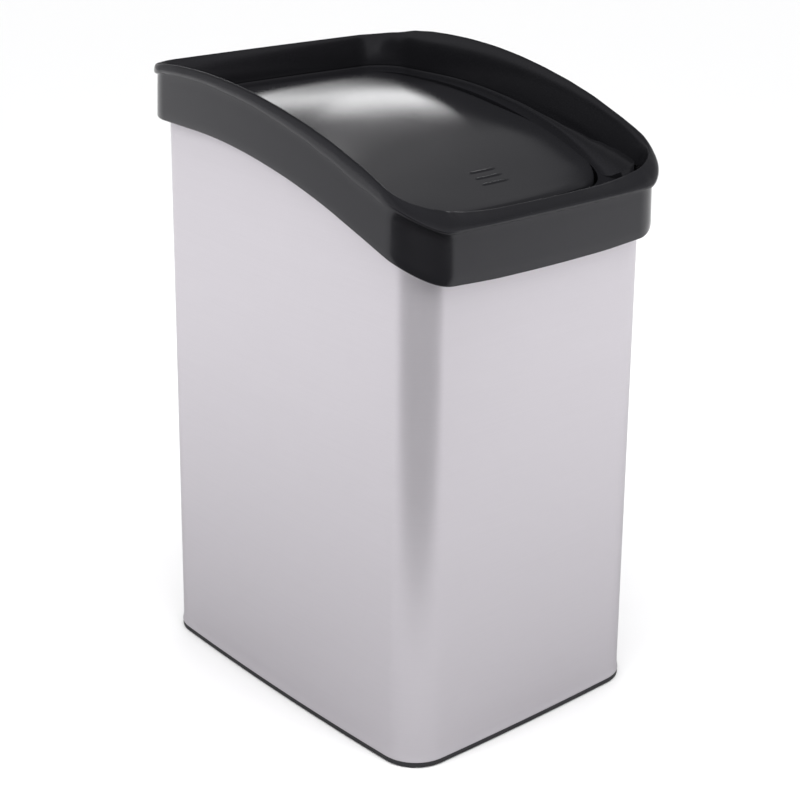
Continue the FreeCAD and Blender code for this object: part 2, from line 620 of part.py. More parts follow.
# Stop pads on their shelves, and grip pads on the channel.
stop_z0 = size("wave_z", "seat_low", "shelf_t")
stop_z1 = size("wave_z", "lid_low") - size("stop_gap")
nodes["lid_stop_pads"] = group("lid_stop_pads", [
    Part.makeBox(size("stop_w"), size("stop_d"), stop_z1 - stop_z0,
                 V(sx * size("stop_x") - size("stop_w") / 2, size("stop_y"), stop_z0)) for sx in (1, -1)])
grips = []
g0, g1 = size("wave_z", "grip_low"), size("wave_z", "grip_top")
half = size("grip_len") / 2
for sx in (1, -1):
    y = size("grip_y")
    x_in = max(half_width(y - half, z, "grip_in") for z in (g0, g1))
    x_out = min(half_width(y + half, z, "grip_out") for z in (g0, g1))
    grips.append(Part.makeBox(x_out - x_in, 2 * half, g1 - g0, V(x_in if sx > 0 else -x_out, y - half, g0)))
    x = sx * size("grip_x")
    y_in = max(rear(abs(x) - half, z, "grip_in") for z in (g0, g1))
    y_out = min(rear(abs(x) + half, z, "grip_out") for z in (g0, g1))
    grips.append(Part.makeBox(2 * half, y_out - y_in, g1 - g0, V(x - half, y_in, g0)))
nodes["rim_grip_pads"] = group("rim_grip_pads", grips)

# ---------------------------------------------------------------- lid
lid_raw = ring("lid_raw", LID, None, "lid_face", "lid_low")
lid_hollow = ring("lid_hollow", LID_IN, None, "lid_roof", None)
lid_shell = cut("lid_shell", lid_raw, lid_hollow)


def normal(y):
    n = V(0, -wave(y)[1], 1)
    return n.normalize()


lid_screw_at = []
for x, y in ((84.0, 60.0), (0.0, 126.0), (80.0, -76.0), (0.0, -100.0)):
    for sx in ((1, -1) if x else (1,)):
        base = V(sx * x, y, wave(y)[0] + size("lid_low"))
        lid_screw_at.append((base + normal(y) * -0.02, normal(y)))
boss_slab = ring("boss_slab", LID_IN, None, "boss_roof", "boss_low")
boss_rods = group("boss_rods", [placed(Part.makeCylinder(size("boss_r"), 30, V(0, 0, -5), V(0, 0, 1)), p, a) for p, a in lid_screw_at])
bosses = doc.addObject("Part::Common", "bosses")
bosses.Base, bosses.Tool = boss_slab, boss_rods
doc.recompute()
lid_whole = fuse("lid_whole", lid_shell, bosses)
nodes["lid_screws"] = group("lid_screws", [placed(screw(size("lid_screw_len")), p, a) for p, a in lid_screw_at])
lid_drills = group("lid_drills", [placed(drill(size("lid_screw_len")), p, a) for p, a in lid_screw_at])
nodes["lid_top"] = cut("lid_top", lid_whole, lid_drills)

panel = ring("panel", PANEL, None, "panel_top", "lid_low")
ribs = []
for tag, sx in (("right", 1), ("left", -1)):
    x0, x1 = ("Sizes.rib_x0", "Sizes.rib_x1") if sx > 0 else ("-Sizes.rib_x1", "-Sizes.rib_x0")
    ribs.append(rod(tag + "_rib_eye", "Sizes.rib_r", x0, x1, "Sizes.pivot_y", "Sizes.pivot_z"))
    ribs.append(box(tag + "_rib_web", x0, x1, "Sizes.pivot_y - Sizes.rib_r", "Sizes.pivot_y + Sizes.rib_r",
                    "Sizes.pivot_z", "Sizes.pivot_z + Sizes.rib_high"))
rib_holes = []
for tag, sx in (("right", 1), ("left", -1)):
    x0, x1 = ("Sizes.rib_x0 - 1", "Sizes.rib_x1 + 1") if sx > 0 else ("-Sizes.rib_x1 - 1", "-Sizes.rib_x0 + 1")
    rib_holes.append(rod(tag + "_rib_hole", "Sizes.pin_r + Sizes.rib_gap", x0, x1, "Sizes.pivot_y", "Sizes.pivot_z"))
panel_ribbed = cut("panel_ribbed", fuse("panel_whole", panel, *ribs), fuse("rib_holes", *rib_holes))

# Weight: flat bar lying on the closing panel in the rear of the lid.
bar_z0 = "Sizes.wave_z + Sizes.panel_top + Sizes.bar_gap"
bar = box("bar_blank", "-Sizes.bar_x / 2", "Sizes.bar_x / 2", "Sizes.bar_pos - Sizes.bar_y / 2", "Sizes.bar_pos + Sizes.bar_y / 2",
          bar_z0, bar_z0 + " + Sizes.bar_z")
bar_screw_at = [(V(sx * size("bar_screw_x"), size("bar_pos"), size("wave_z", "lid_low") - 0.02), V(0, 0, 1)) for sx in (1, -1)]
bar_len = size("panel_top") - size("lid_low") + size("bar_z") - 0.6
nodes["counterweight_screws"] = group("counterweight_screws", [placed(screw(bar_len), p, a) for p, a in bar_screw_at])
bar_drills = group("bar_drills", [placed(drill(bar_len), p, a) for p, a in bar_screw_at])
nodes["counterweight"] = cut("counterweight", bar, bar_drills)
panel_drilled = cut("panel_drilled", panel_ribbed, lid_drills)
nodes["lid_underside"] = cut("lid_underside", panel_drilled, bar_drills)

# ---------------------------------------------------------------- checks and files
doc.recompute()
for obj in doc.Objects:
    if "Invalid" in obj.State or "Error" in obj.State:
        raise RuntimeError("%s failed: %s" % (obj.Label, obj.State))
SOLIDS = {"rubber_feet": 4, "seat_frame_screws": 6, "pivot_block_screws": 4, "lid_stop_pads": 2, "rim_grip_pads": 4,
          "lid_screws": len(lid_screw_at), "counterweight_screws": 2}
for label, obj in nodes.items():
    shape = obj.Shape
    if shape.isNull() or not shape.isValid():
        raise RuntimeError("%s is not valid" % label)
    if len(shape.Solids) != SOLIDS.get(label, 1):
        raise RuntimeError("%s has %d solids" % (label, len(shape.Solids)))
    if obj.Label != label:
        raise RuntimeError("%s is labelled %s" % (label, obj.Label))
os.makedirs("parts", exist_ok=True)
for label, obj in nodes.items():
    shape = obj.Shape.Solids[0] if len(obj.Shape.Solids) == 1 else obj.Shape
    shape.exportStep("parts/%s.step" % label)
    b = shape.BoundBox
    print("%-22s %9.1f mm3  x %.1f..%.1f  y %.1f..%.1f  z %.1f..%.1f" % (
        label, shape.Volume, b.XMin, b.XMax, b.YMin, b.YMax, b.ZMin, b.ZMax))
print(len(nodes), "nodes")
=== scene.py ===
import math
import bpy
import bmesh
from mathutils import Matrix, Vector


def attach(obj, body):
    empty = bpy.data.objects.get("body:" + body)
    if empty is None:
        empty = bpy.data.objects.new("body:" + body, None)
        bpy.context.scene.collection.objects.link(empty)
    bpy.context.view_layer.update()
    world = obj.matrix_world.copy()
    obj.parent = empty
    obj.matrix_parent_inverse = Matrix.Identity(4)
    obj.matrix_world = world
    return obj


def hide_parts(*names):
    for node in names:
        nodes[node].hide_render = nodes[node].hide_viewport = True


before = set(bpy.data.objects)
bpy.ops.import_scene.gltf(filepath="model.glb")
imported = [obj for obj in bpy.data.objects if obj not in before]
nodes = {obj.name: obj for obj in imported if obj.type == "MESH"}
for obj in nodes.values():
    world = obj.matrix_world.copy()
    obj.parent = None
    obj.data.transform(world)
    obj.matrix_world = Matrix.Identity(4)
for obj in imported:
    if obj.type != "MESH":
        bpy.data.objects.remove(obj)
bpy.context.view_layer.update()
scene = bpy.context.scene
MM = 0.001

# ------------------------------------------------------------------ shape of the can, in millimetres
LEAN = 0.012
SIDE_C, SIDE_R = -(2862.0 - 119.1), 2862.0
END_C, END_R = 3219.0 - 155.0, 3219.0
WY1, WZ, WR1, WANG, WY3, WR2, WY4 = 88.0, 429.2, 470.0, math.radians(20.8), -134.0, 95.0, -161.0


def wave(y):
    """Height of the falling curve at y."""
    y2 = WY1 - WR1 * math.sin(WANG)
    z2 = WZ - WR1 + WR1 * math.cos(WANG)
    if y >= WY1:
        return WZ
    if y >= y2:
        return WZ - WR1 + math.sqrt(WR1 * WR1 - (WY1 - y) ** 2)
    if y >= WY3:
        return z2 - (y2 - y) * math.tan(WANG)
    z3 = z2 - (y2 - WY3) * math.tan(WANG)
    cy, cz = WY3 + WR2 * math.sin(WANG), z3 - WR2 * math.cos(WANG)
    y = max(y, WY4)
    return cz + math.sqrt(WR2 * WR2 - (cy - y) ** 2)


def slope(y):
    return (wave(y + 0.5) - wave(y - 0.5))


def meet(c0, r0, c1, r1, towards):
    dx, dy = c1[0] - c0[0], c1[1] - c0[1]
    d = math.hypot(dx, dy)
    a = (r0 * r0 - r1 * r1 + d * d) / (2 * d)
    h = math.sqrt(max(r0 * r0 - a * a, 0.0))
    ux, uy = dx / d, dy / d
    both = [(c0[0] + ux * a - uy * k * h, c0[1] + uy * a + ux * k * h) for k in (1, -1)]
    return max(both, key=lambda q: q[0] * towards[0] + q[1] * towards[1])


def smooth(a, b, x):
    t = min(1.0, max(0.0, (x - a) / (b - a)))
    return t * t * (3 - 2 * t)


def table(x, rows):
    """Smooth interpolation in a table of (x, value), x falling or rising."""
    rows = sorted(rows)
    if x <= rows[0][0]:
        return rows[0][1]
    for (x0, v0), (x1, v1) in zip(rows, rows[1:]):
        if x <= x1:
            t = (x - x0) / (x1 - x0)
            t = t * t * (3 - 2 * t) * 0.5 + t * 0.5
            return v0 + (v1 - v0) * t
    return rows[-1][1]


def half_stations(side=0.0, front=0.0, back=0.0, rf=29.0, rb=29.0, z=0.0, steps=(34, 26, 120, 30, 46)):
    """Right half of a plan outline from the back middle to the front middle: (x, y, nx, ny, tag).
    steps: back, rear corner, side, front corner, front."""
    Rs, Rf, Rb = SIDE_R + side - LEAN * z, END_R + front - LEAN * z, END_R + back - LEAN * z
    rf, rb = rf - LEAN * z, rb - LEAN * z
    cs, cf, cb = (SIDE_C, 0.0), (0.0, END_C), (0.0, -END_C)
    kb = meet(cs, Rs - rb, cb, Rb - rb, (1, 1))
    kf = meet(cs, Rs - rf, cf, Rf - rf, (1, -1))
    out = []

    def arc(c, r, a0, a1, n, tag, last=False):
        for i in range(n + (1 if last else 0)):
            a = a0 + (a1 - a0) * i / n
            out.append((c[0] + r * math.cos(a), c[1] + r * math.sin(a), math.cos(a), math.sin(a), tag))

    ab = math.atan2(kb[1] - cb[1], kb[0] - cb[0])
    arc(cb, Rb, math.pi / 2, ab, steps[0], "back")
    sb = math.atan2(kb[1] - cs[1], kb[0] - cs[0])
    arc(kb, rb, ab, sb, steps[1], "rear_corner")
    sf = math.atan2(kf[1] - cs[1], kf[0] - cs[0])
    arc(cs, Rs, sb, sf, steps[2], "side")
    af = math.atan2(kf[1] - cf[1], kf[0] - cf[0])
    arc(kf, rf, sf, af, steps[3], "front_corner")
    arc(cf, Rf, af, -math.pi / 2, steps[4], "front", True)
    return out


def mirrored(half):
    """Whole outline from its right half, back middle first, going round by the right."""
    left = [(-x, y, -nx, ny, tag) for x, y, nx, ny, tag in reversed(half[1:-1])]
    return half + left


# ------------------------------------------------------------------ mesh helpers
def make(name, verts, faces, body, material=None, sharp=None, replaces=()):
    mesh = bpy.data.meshes.new(name)
    mesh.from_pydata([(x * MM, y * MM, z * MM) for x, y, z in verts], [], faces)
    mesh.validate()
    bm = bmesh.new()
    bm.from_mesh(mesh)
    bmesh.ops.remove_doubles(bm, verts=bm.verts, dist=1e-7)
    bmesh.ops.recalc_face_normals(bm, faces=bm.faces)
    bm.to_mesh(mesh)
    bm.free()
    for p in mesh.polygons:
        p.use_smooth = True
    if sharp:
        mesh.set_sharp_from_angle(angle=math.radians(sharp))
    obj = bpy.data.objects.new(name, mesh)
    scene.collection.objects.link(obj)
    if material:
        obj.data.materials.append(material)
    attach(obj, body)
    if replaces:
        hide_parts(*replaces)
    return obj


def loft(rings, closed_ring=True, closed_path=True):
    """Faces over a list of rings of equal length."""
    verts = [p for r in rings for p in r]
    n, m = len(rings), len(rings[0])
    faces = []
    for i in range(n if closed_path else n - 1):
        j = (i + 1) % n
        for k in range(m if closed_ring else m - 1):
            q = (k + 1) % m
            faces.append((i * m + k, i * m + q, j * m + q, j * m + k))
    return verts, faces


# ------------------------------------------------------------------ materials
def material(name, color, rough, metallic=0.0, spec=0.5, coat=0.0, coat_rough=0.1, grain=None, mottle=None, tint=None, aniso=0.0):
    """grain: (scale per axis, bump distance mm, strength); mottle: (scale, how far the roughness wanders);
    tint: (scale, darker share)"""
    m = bpy.data.materials.new(name)
    m.use_nodes = True
    nt = m.node_tree
    b = nt.nodes["Principled BSDF"]
    b.inputs["Base Color"].default_value = (*color, 1)
    b.inputs["Roughness"].default_value = rough
    b.inputs["Metallic"].default_value = metallic
    b.inputs["Specular IOR Level"].default_value = spec
    b.inputs["Coat Weight"].default_value = coat
    b.inputs["Coat Roughness"].default_value = coat_rough
    if aniso:
        b.inputs["Anisotropic"].default_value = aniso
    if max(color) < 0.1:
        b.inputs["Specular Tint"].default_value = (0.95, 0.94, 1.0, 1)
    co = nt.nodes.new("ShaderNodeTexCoord")

    def noise(scale, detail=3.0, rough_=0.55):
        mp = nt.nodes.new("ShaderNodeMapping")
        mp.inputs["Scale"].default_value = scale if isinstance(scale, tuple) else (scale,) * 3
        nt.links.new(co.outputs["Object"], mp.inputs["Vector"])
        nz = nt.nodes.new("ShaderNodeTexNoise")
        nz.inputs["Scale"].default_value = 1.0
        nz.inputs["Detail"].default_value = detail
        nz.inputs["Roughness"].default_value = rough_
        nt.links.new(mp.outputs["Vector"], nz.inputs["Vector"])
        return nz.outputs["Fac"]

    if mottle:
        r = nt.nodes.new("ShaderNodeMapRange")
        r.inputs["From Min"].default_value, r.inputs["From Max"].default_value = 0.25, 0.75
        r.inputs["To Min"].default_value, r.inputs["To Max"].default_value = rough - mottle[1], rough + mottle[1]
        nt.links.new(noise(mottle[0]), r.inputs["Value"])
        nt.links.new(r.outputs["Result"], b.inputs["Roughness"])
    if tint:
        mix = nt.nodes.new("ShaderNodeMix")
        mix.data_type = "RGBA"
        mix.inputs["A"].default_value = (*color, 1)
        mix.inputs["B"].default_value = (*[c * tint[1] for c in color], 1)
        nt.links.new(noise(tint[0]), mix.inputs["Factor"])
        nt.links.new(mix.outputs["Result"], b.inputs["Base Color"])
    if grain:
        bump = nt.nodes.new("ShaderNodeBump")
        bump.inputs["Distance"].default_value = grain[1] * MM
        bump.inputs["Strength"].default_value = grain[2]
        nt.links.new(noise(grain[0], 4.0, 0.6), bump.inputs["Height"])
        nt.links.new(bump.outputs["Normal"], b.inputs["Normal"])
    return m


M_STEEL = material("satin_steel", (0.675, 0.645, 0.686), 0.37, metallic=0.56, spec=0.4,
                   grain=((60.0, 60.0, 5200.0), 0.02, 0.22), mottle=((3.0, 3.0, 900.0), 0.035), tint=((14.0, 14.0, 1400.0), 0.96), aniso=0.35)
M_RIM = material("gloss_black", (0.0115, 0.0115, 0.0132), 0.20, spec=0.48, grain=(900.0, 0.004, 0.04), mottle=(35.0, 0.03), tint=(60.0, 0.9))
M_LID = material("lid_black", (0.0140, 0.0140, 0.0158), 0.20, spec=0.5, mottle=(9.0, 0.008), tint=(60.0, 0.9))
M_SATIN = material("satin_black", (0.028, 0.028, 0.030), 0.45, spec=0.45, grain=(1500.0, 0.02, 0.25), mottle=(40.0, 0.05), tint=(50.0, 0.85))
M_PAN = material("floor_grey", (0.045, 0.045, 0.047), 0.55, spec=0.4, grain=(1300.0, 0.03, 0.3), mottle=(30.0, 0.06), tint=(25.0, 0.85))
M_NYLON = material("white_nylon", (0.78, 0.77, 0.73), 0.42, spec=0.45, grain=(900.0, 0.01, 0.15), mottle=(60.0, 0.05), tint=(80.0, 0.93))
M_ZINC = material("zinc_steel", (0.60, 0.60, 0.58), 0.33, metallic=1.0, grain=(2500.0, 0.01, 0.25), mottle=(220.0, 0.08), tint=(160.0, 0.85))
M_RUBBER = material("soft_rubber", (0.03, 0.03, 0.03), 0.8, spec=0.3, grain=(1800.0, 0.03, 0.4), mottle=(90.0, 0.08), tint=(120.0, 0.8))


def paint(node, mat, bevel=None):
    o = nodes[node]
    if o.data.materials:
        for i in range(len(o.data.materials)):
            o.data.materials[i] = mat
    else:
        o.data.materials.append(mat)
    if bevel:
        b = o.modifiers.new("edge", "BEVEL")
        b.width = bevel * MM
        b.segments = 3
        b.limit_method = "ANGLE"
        b.angle_limit = math.radians(50)
        b.harden_normals = False


# ------------------------------------------------------------------ wrap
half = half_stations()
ring_path = mirrored(half)


def at(st, o, z):
    """Point at offset o and height z on one station of the wrap's outline."""
    k = o - LEAN * z
    return (st[0] + st[2] * k, st[1] + st[3] * k, z)


def at_level(st, o, lev):
    """The same at a level above the falling curve."""
    z = wave(st[1]) + lev
    for _ in range(3):
        z = wave(st[1] + st[3] * (o - LEAN * z)) + lev
    return at(st, o, z)


rows_out = 26
wrap = []
for st in ring_path:
    top = at_level(st, 0.0, 5.0)[2]
    sec = [at(st, -1.0, 4.9), at(st, -0.2, 4.5), at(st, 0.75, 4.6), at(st, 0.95, 5.1), at(st, 0.8, 5.9), at(st, 0.4, 7.6), at(st, 0.12, 10.0), at(st, 0.0, 14.0)]
    for i in range(1, rows_out + 1):
        sec.append(at(st, 0.0, 14.0 + (top - 0.3 - 14.0) * i / rows_out))
    sec.append(at(st, -0.2, top))
    sec.append(at(st, -0.8, top))
    for i in range(rows_out, -1, -2):
        sec.append(at(st, -1.0, 10.0 + (top - 0.3 - 10.0) * i / rows_out))
    wrap.append(sec)
v, f = loft(wrap)
make("body_wrap", v, f, "can", M_STEEL, 40, ["body_shell"])

# ------------------------------------------------------------------ rim: skirt, lip, inner wall and broad front corners
# Crest of the lip: (place, offset) and (place, level). It leaves the outer edge in the front corners.
CREST_O_FRONT = [(0.0, 6.0), (30.0, 5.8), (46.0, 5.0), (62.0, 4.0), (75.0, 3.6), (90.0, 3.6)]
CREST_O_CORNER = [(0.0, 11.0), (12.0, 10.0), (30.0, 7.6), (45.0, 5.8), (60.0, 4.4), (75.0, 3.7), (90.0, 3.6)]
CREST_L_FRONT = [(0.0, 42.1), (30.0, 42.0), (45.0, 41.2), (60.0, 40.8), (75.0, 41.5), (88.0, 43.4)]
CREST_L_CORNER = [(0.0, 47.6), (8.0, 47.1), (16.0, 46.4), (24.5, 45.7), (33.0, 45.4), (49.0, 45.4), (65.5, 45.0), (82.0, 44.2), (90.0, 43.4)]


def edge_of(st, angle, nose, top):
    """(offset, height) of the crest and of the inner wall's lower edge, and how far the crest has left the outer edge, 0 to 1."""
    x, y = abs(st[0]), st[1]
    if st[4] == "front":
        co = table(x, CREST_O_FRONT)
        cz = at_level(st, co, table(x, CREST_L_FRONT))[2]
        return co, cz, co - 1.0, cz - 1.7, 1.0
    if st[4] == "front_corner":
        co = table(angle, CREST_O_CORNER)
        cz = at_level(st, co, table(angle, CREST_L_CORNER))[2]
        eo = table(angle, [(0.0, 6.3), (15.0, 5.8), (30.0, 4.8), (45.0, 3.9), (60.0, 3.0), (90.0, 2.6)])
        drop = table(angle, [(0.0, 22.0), (15.0, 16.0), (30.0, 10.5), (45.0, 6.0), (60.0, 3.4), (75.0, 2.0), (90.0, 1.7)])
        return co, cz, eo, cz - drop, table(angle, [(0.0, 0.0), (20.0, 0.25), (45.0, 0.8), (70.0, 1.0), (90.0, 1.0)])
    co = nose - 2.2
    lev = table(y, [(-126.0, 27.4), (-119.0, 21.5), (-112.0, 15.5), (-106.0, 11.8), (-60.0, 11.8), (160.0, 11.8)])
    return co, at_level(st, co, top)[2], 6.5, at_level(st, 6.5, lev)[2], 0.0


def bezier(p0, p1, p2, p3, n):
    out = []
    for i in range(1, n + 1):
        t = i / n
        a, b, c, d = (1 - t) ** 3, 3 * t * (1 - t) ** 2, 3 * t * t * (1 - t), t ** 3
        out.append(tuple(a * p0[k] + b * p1[k] + c * p2[k] + d * p3[k] for k in (0, 1)))
    return out


CREST = [(-170.0, 43.4), (-155.0, 43.6), (-142.0, 46.2), (-126.0, 47.7), (-118.0, 48.4), (-106.0, 48.8), (-81.0, 48.5), (-56.0, 47.2),
         (-31.0, 46.0), (-5.0, 45.2), (22.0, 44.6), (50.0, 44.0), (77.0, 43.5), (100.0, 43.1), (120.0, 41.6), (138.0, 38.2), (152.0, 36.4), (170.0, 36.0)]
TALL = [(-165.0, 6.4), (-152.0, 6.8), (-140.0, 8.6), (-125.0, 11.6), (-100.0, 13.2), (-70.0, 12.0), (-44.0, 10.8), (-18.0, 10.0), (9.0, 9.0),
        (37.0, 8.6), (66.0, 7.6), (100.0, 7.2), (170.0, 6.6)]


def rim_section(st, angle):
    y = st[1]
    front = smooth(-95.0, -150.0, y)
    rear = smooth(100.0, 150.0, y)
    nose = 12.8 + 0.6 * front - 1.9 * rear
    top = table(y, CREST)
    tall = table(y, TALL)
    low = top - tall
    skirt = 9.6
    if st[4] == "front":
        foot = table(abs(st[0]), [(0.0, -2.1), (50.0, -2.0), (90.0, -0.9)])
    elif st[4] == "front_corner":
        foot = 0.4 - 1.3 * smooth(0.0, 90.0, angle)
    else:
        foot = table(y, [(-135.0, 0.4), (-105.0, 0.4), (-80.0, 0.0), (-40.0, -0.9), (0.0, -1.5), (150.0, -1.2)])

    def lv(o, lev):
        return (o, at_level(st, o, lev)[2])

    # skirt, upright and a little drawn in
    sec = [lv(7.4, foot + 0.5), lv(7.8, foot), lv(skirt - 1.05, foot), lv(skirt - 0.5, foot + 0.15), lv(skirt - 0.15, foot + 0.6), lv(skirt, foot + 1.3)]
    for part in (0.17, 0.39, 0.61, 0.82):
        sec.append(lv(skirt - 0.9 * part, part * (low - 1.4)))
    # underside of the lip
    sec += [lv(skirt - 0.95, low - 1.4), lv(skirt - 0.8, low - 0.6), lv(skirt - 0.35, low - 0.1), lv(nose - 1.0, low + 0.15), lv(nose - 0.45, low + 0.5), lv(nose - 0.12, low + 1.1)]
    nz = low + 0.26 * tall
    n0 = lv(nose, nz)
    co, cz, eo, ez, broad = edge_of(st, angle, nose, top)
    # outer face of the lip up to the crest, then the inner wall
    wide, rise = nose - co, cz - n0[1]
    sec.append(n0)
    sec += bezier(n0, (nose - 0.05 * wide, n0[1] + 0.45 * rise), (co + (0.62 - 0.2 * broad) * wide, cz - (0.02 + 0.30 * broad) * rise), (co, cz), 14)
    w, h = co - eo, cz - ez
    sec += bezier((co, cz), (co - 0.5 * w, cz - 0.02 * h), (eo + 0.1 * w, cz - 0.42 * h), (eo, ez), 18)
    r = 0.6
    sec += [(eo + 0.05, ez - 0.45 * r), (eo + 0.35 * r, ez - 0.85 * r), (eo + 0.9 * r, ez - 1.05 * r)]
    back_o = max(7.4, eo + 1.4)
    sec += [(back_o - 0.2, ez - 1.3 - 0.25 * (back_o - eo)), (back_o, ez - 1.6 - 0.3 * (back_o - eo))]
    low_z = lv(7.4, 9.0)[1]
    sec.append((7.5, min(low_z, sec[-1][1] - 0.5)))
    return [at(st, o, z) for o, z in sec]


def corner_angle(i):
    first = next(k for k, s in enumerate(half) if s[4] == "front_corner")
    count = sum(1 for s in half if s[4] == "front_corner")
    return 90.0 * (i - first) / count


def whole(section):
    right = [section(st, corner_angle(i)) for i, st in enumerate(half)]
    left = [[(-p[0], p[1], p[2]) for p in sec] for sec in reversed(right[1:-1])]
    return right + left


half = half_stations(steps=(34, 30, 150, 44, 60))
v, f = loft(whole(rim_section))
make("rim_cover", v, f, "rim", M_RIM, 50, ["rim_frame"])

# ------------------------------------------------------------------ fillet between wall and ledge; it grows towards the front and ends in a slanting cut
LEDGE = 9.6
FILLET = [(-125.0, 18.0), (-108.0, 16.0), (-95.0, 13.0), (-75.0, 8.0), (-47.0, 4.0), (-20.0, 2.2), (20.0, 1.4), (170.0, 1.4)]
CUT = [(-125.0, 6.5), (-118.5, 2.6), (-114.0, -1.4), (-112.0, -5.4), (-108.0, -9.4), (-100.0, -20.0)]


def fillet_at(t, h):
    q = t * math.pi / 2
    return (6.6 - h * (0.8 * (1 - math.cos(q)) + 0.2 * t), h * (0.8 * (1 - math.sin(q)) + 0.2 * (1 - t)))


def fillet_section(st):
    h = table(st[1], FILLET)
    stop = table(st[1], CUT) if st[1] < -100.0 else -99.0
    t1 = 1.0
    while t1 > 0.04 and fillet_at(t1, h)[0] < stop:
        t1 -= 0.01
    sec = [(7.1, LEDGE - 1.4), (7.1, LEDGE + h + 0.2)]
    sec += [(o, LEDGE + l) for o, l in (fillet_at(t1 * i / 12, h) for i in range(13))]
    sec += [(sec[-1][0] - 0.1, LEDGE - 0.3), (sec[-1][0] - 0.1, LEDGE - 1.4)]
    return [at_level(st, o, l) for o, l in sec]


right_part = [st for st in half if st[4] in ("back", "rear_corner") or (st[4] == "side" and st[1] > -124.5)]
right_secs = [fillet_section(st) for st in right_part]
left_secs = [[(-q[0], q[1], q[2]) for q in sec] for sec in reversed(right_secs[1:])]
secs = left_secs + right_secs
v, f = loft(secs, closed_path=False)
m = len(secs[0])
f += [tuple(range(m)), tuple(range((len(secs) - 1) * m, len(secs) * m))]
make("ledge_fillet", v, f, "rim", M_RIM, 40)

# ------------------------------------------------------------------ lid: gently domed panel with a rounded, turned-down edge
LID_MID = 12.0


def lid_lift(x, y):
    """How far the long edges of the lid stand up towards the front."""
    return 4.6 * smooth(15.0, -60.0, y) * (1 - 0.8 * smooth(-92.0, -119.0, y)) * min(1.0, abs(x / 103.0)) ** 2.2


def lid_z(x, y, lev):
    u = min(1.0, max(0.0, (y + 115.0) / 254.0))
    return wave(y) + lev + lid_lift(x, y) + 7.2 * max(0.0, 1 - abs(x / 106.0) ** 2.8) * u ** 1.8 * (1 - u ** 34)


lid_path = mirrored(half_stations(side=-10.0, front=-35.5, back=-11.0, rf=30.0, rb=41.0, steps=(30, 24, 70, 24, 36)))
SHARES = (0.03, 0.07, 0.12, 0.18, 0.25, 0.33, 0.42, 0.52, 0.62, 0.72, 0.81, 0.89, 0.95, 0.985)
lid_secs = []
for st in lid_path:
    sec = [at_level(st, o, lev) for o, lev in ((-2.4, 5.6), (-2.4, -3.7), (-2.1, -4.0), (-0.4, -4.0), (0.0, -3.6), (0.0, 5.4), (-0.2, 6.6), (-0.75, 7.6), (-1.6, 8.2))]
    sec = [(q[0], q[1], q[2] + (lid_lift(q[0], q[1]) if i in (0, 5, 6, 7, 8) else 0.0)) for i, q in enumerate(sec)]
    e = at_level(st, -2.8, 8.4)
    sec.append((e[0], e[1], lid_z(e[0], e[1], 8.4)))
    for s in SHARES:
        x, y = e[0] * (1 - s), e[1] + (LID_MID - e[1]) * s
        sec.append((x, y, lid_z(x, y, 8.4)))
    lid_secs.append(sec)
v, f = loft(lid_secs, closed_ring=False)
m = len(lid_secs[0])
v.append((0.0, LID_MID, lid_z(0.0, LID_MID, 8.4)))
v.append((0.0, LID_MID, lid_z(0.0, LID_MID, 5.9)))
count = len(lid_secs)
for i in range(count):
    j = (i + 1) % count
    f.append((i * m + m - 1, j * m + m - 1, count * m))
inner = len(v)
for sec in lid_secs:
    e = sec[0]
    for s in SHARES:
        x, y = e[0] * (1 - s), e[1] + (LID_MID - e[1]) * s
        v.append((x, y, lid_z(x, y, 5.9)))
k = len(SHARES)
for i in range(count):
    j = (i + 1) % count
    f.append((i * m, j * m, inner + j * k, inner + i * k))
    for q in range(k - 1):
        f.append((inner + i * k + q, inner + j * k + q, inner + j * k + q + 1, inner + i * k + q + 1))
    f.append((inner + i * k + k - 1, inner + j * k + k - 1, count * m + 1))
make("lid_cover", v, f, "lid", M_LID, 60, ["lid_top"])

# three short raised push ribs near the front of the lid, and the small mark of the moulding gate
for r_i in range(3):
    y0 = -76.0 - 7.0 * r_i
    secs = []
    for i in range(15):
        x = 12.0 + (i / 14.0 - 0.5) * 26.0
        end = max(0.0, 1 - abs((x - 12.0) / 13.0) ** 6) ** 0.5
        sec = []
        for dy, dz in ((-1.3, -0.4), (-1.1, 0.25), (-0.6, 0.62), (0.0, 0.75), (0.6, 0.62), (1.1, 0.25), (1.3, -0.4)):
            y = y0 + dy * (0.35 + 0.65 * end)
            sec.append((x, y, lid_z(x, y, 8.4) + (dz if dz < 0 else dz * end)))
        secs.append(sec)
    v, f = loft(secs, closed_path=False)
    m = len(secs[0])
    f += [tuple(range(m)), tuple(range(14 * m, 15 * m))]
    make("push_rib_%d" % (r_i + 1), v, f, "lid", M_LID, 60)
secs = []
for i in range(24):
    q = 2 * math.pi * i / 24
    sec = []
    for rad, up in ((1.7, -0.3), (1.6, 0.12), (1.2, 0.2), (0.4, 0.16)):
        x, y = 24.0 + rad * math.cos(q), 12.0 + rad * math.sin(q)
        sec.append((x, y, lid_z(x, y, 8.4) + up))
    secs.append(sec)
v, f = loft(secs, closed_ring=False)
f += [tuple(i * 4 + 3 for i in range(24)), tuple(i * 4 for i in range(24))]
make("gate_mark", v, f, "lid", M_LID, 50)

# ------------------------------------------------------------------ seam of the wrap, up the middle of the back
st = half[0]
secs = []
for i in range(41):
    z = 14.0 + (wave(155.0) - 16.0 - 14.0) * i / 40
    y = at(st, 0.0, z)[1]
    secs.append([(-1.6, y - 0.3, z), (-1.6, y + 0.02, z), (-1.0, y + 0.12, z), (0.0, y + 0.16, z), (1.0, y + 0.12, z), (1.6, y + 0.02, z), (1.6, y - 0.3, z)])
v, f = loft(secs, closed_path=False)
m = len(secs[0])
f += [tuple(range(m)), tuple(range(40 * m, 41 * m))]
make("wrap_seam", v, f, "can", M_STEEL, 40)

